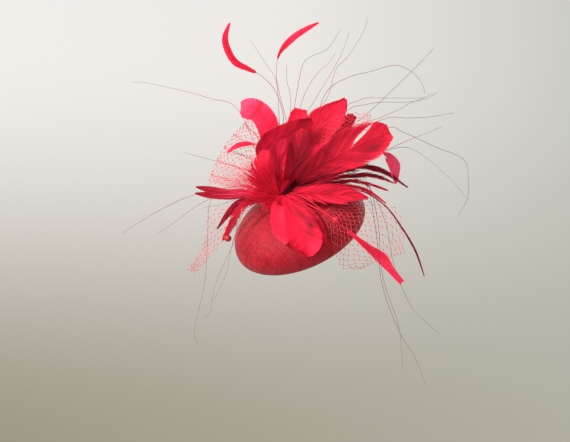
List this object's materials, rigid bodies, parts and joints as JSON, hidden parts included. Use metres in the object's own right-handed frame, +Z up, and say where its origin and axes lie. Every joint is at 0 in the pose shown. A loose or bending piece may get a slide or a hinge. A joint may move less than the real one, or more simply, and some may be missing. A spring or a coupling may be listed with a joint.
{
  "type": "feather fascinator",
  "caption": "Red percher fascinator: a domed oval base of woven straw with a spray of cut feathers, fine quills and net, on a hidden comb.",
  "frame": {"origin": "middle of the base's rim, where it sits on the wearer's head", "axes": "+Z up as worn, +Y away from the viewer of its front, +X to the viewer's right"},
  "size_m": [0.4352, 0.2014, 0.4654],
  "materials": {
    "straw": "woven straw, sized",
    "thread": "bound thread, matt",
    "comb_red": "smooth",
    "bead_red": "gloss",
    "quill_brown": "stripped feather quill, dyed",
    "scarlet": "dyed feather, soft",
    "rose": "dyed feather, soft, translucent",
    "wine": "dyed feather, dark",
    "net_red": "net thread"
  },
  "bodies": {
    "root": {"base_shell": "straw", "stem_binding": "thread", "comb": "comb_red", "stamen_left": "bead_red", "stamen_right": "bead_red", "quill_spray_top": "quill_brown", "quill_spray_right": "quill_brown", "quill_spray_left": "quill_brown", "petal_centre_dark": "wine", "petal_centre_left": "scarlet", "petal_left": "scarlet", "petal_front_right": "rose", "petal_front_left": "rose", "petal_front_under": "rose", "petal_right_lower": "rose", "petal_right_large": "scarlet", "petal_right_back": "wine", "petal_upper_right": "rose", "petal_small_top": "rose", "petal_top_dark": "wine", "petal_upper_left": "rose", "petal_back_left": "scarlet", "petal_back_right": "scarlet", "coque_left_upper": "wine", "coque_left_lower": "wine", "coque_top_left": "scarlet", "coque_top_right": "scarlet", "leaf_feather_left": "rose", "cut_feather_right": "rose", "arrow_feather_right": "rose", "thin_feather_right": "wine", "hackle_left_dark": "wine", "hackle_left_fluffy": "scarlet", "hackle_tuft_right": "wine", "veil_left_upper": "net_red", "veil_left_lower": "net_red", "veil_right": "net_red"}
  },
  "joints": []
}
